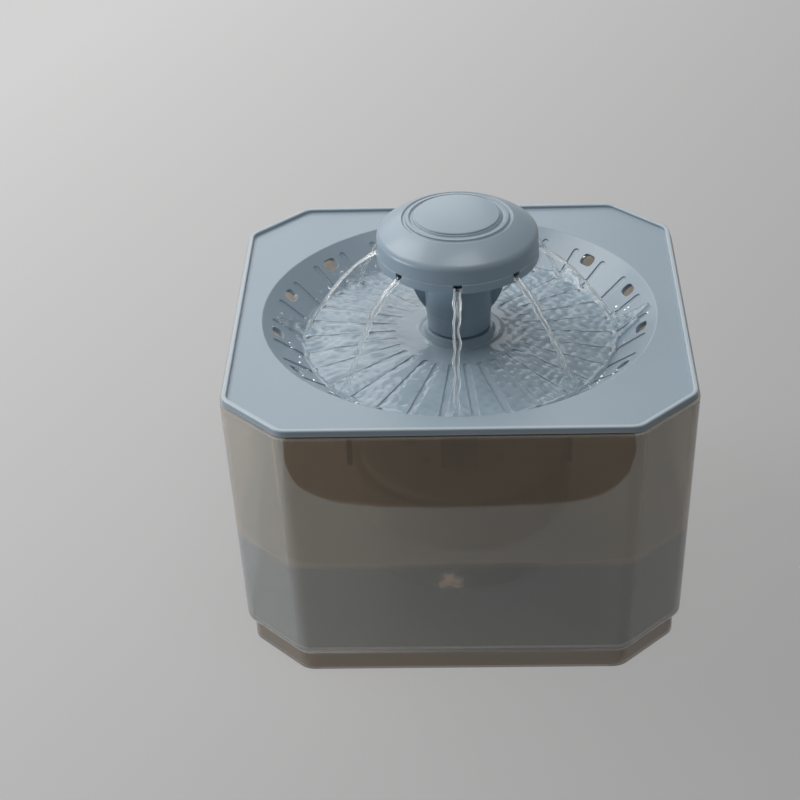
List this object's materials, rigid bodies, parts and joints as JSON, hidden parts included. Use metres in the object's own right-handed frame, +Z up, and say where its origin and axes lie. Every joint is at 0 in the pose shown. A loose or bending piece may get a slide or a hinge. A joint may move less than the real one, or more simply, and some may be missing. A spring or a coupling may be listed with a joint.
{
  "type": "pet water fountain",
  "caption": "Octagonal pet water fountain: smoke tank, grey tray with a round fluted dish, and a mushroom spout fed by a small pump in a filter basket.",
  "frame": {"origin": "ground under the fountain's axis, at the middle of the foot", "axes": "+Z up along the spout's axis, -Y towards the front, +X to the right seen from the front; the pump's shaft lies along Y"},
  "size_m": [0.192, 0.1924, 0.1693],
  "materials": {
    "tray_plastic": "satin moulded polypropylene, blue grey",
    "tank_plastic": "translucent smoke moulding, frosted inside",
    "basket_plastic": "satin",
    "filter_foam": "open-cell foam",
    "pump_plastic": "satin moulding",
    "rotor_plastic": "satin",
    "soft_rubber": "matt silicone",
    "clear_silicone": "pale silicone",
    "ferrite": "ground ferrite",
    "shaft_steel": "ground stainless steel",
    "laminations": "stacked electrical steel",
    "copper_winding": "enamelled copper wire"
  },
  "bodies": {
    "base": {"tank": "tank_plastic", "cord_grommet": "soft_rubber", "filter_basket": "basket_plastic", "foam_sleeve": "filter_foam", "pump_housing": "pump_plastic", "pump_back_cover": "pump_plastic", "cable_gland": "soft_rubber", "suction_cups": "clear_silicone", "stator_core": "laminations", "stator_coil": "copper_winding", "chamber_plate": "pump_plastic", "front_bush": "rotor_plastic", "rear_bush": "rotor_plastic", "impeller_shaft": "shaft_steel"},
    "tray": {"tray": "tray_plastic", "riser_tube": "basket_plastic"},
    "spout": {"spout": "tray_plastic", "spout_seal": "soft_rubber"},
    "cap": {"cap": "tray_plastic"},
    "lid": {"basket_lid": "basket_plastic"},
    "rotor": {"impeller": "rotor_plastic", "rotor_magnet": "ferrite"},
    "intake": {"intake_cover": "pump_plastic"},
    "slider": {"flow_slider": "rotor_plastic"}
  },
  "joints": [
    {"name": "tray_lift", "type": "slide", "parent": "base", "child": "tray", "axis": [0, 0, 1], "range_m": [0, 0.08]},
    {"name": "spout_lift", "type": "slide", "parent": "tray", "child": "spout", "axis": [0, 0, 1], "range_m": [0, 0.02]},
    {"name": "cap_lift", "type": "slide", "parent": "spout", "child": "cap", "axis": [0, 0, 1], "range_m": [0, 0.01]},
    {"name": "lid_lift", "type": "slide", "parent": "base", "child": "lid", "axis": [0, 0, 1], "range_m": [0, 0.03]},
    {"name": "rotor_spin", "type": "hinge", "parent": "base", "child": "rotor", "pos_m": [0, 0, 0.0372], "axis": [0, 1, 0], "continuous": true},
    {"name": "intake_pull", "type": "slide", "parent": "base", "child": "intake", "axis": [0, -1, 0], "range_m": [0, 0.012]},
    {"name": "flow_slide", "type": "slide", "parent": "intake", "child": "slider", "axis": [1, 0, 0], "range_m": [-0.0055, 0.0055]}
  ]
}
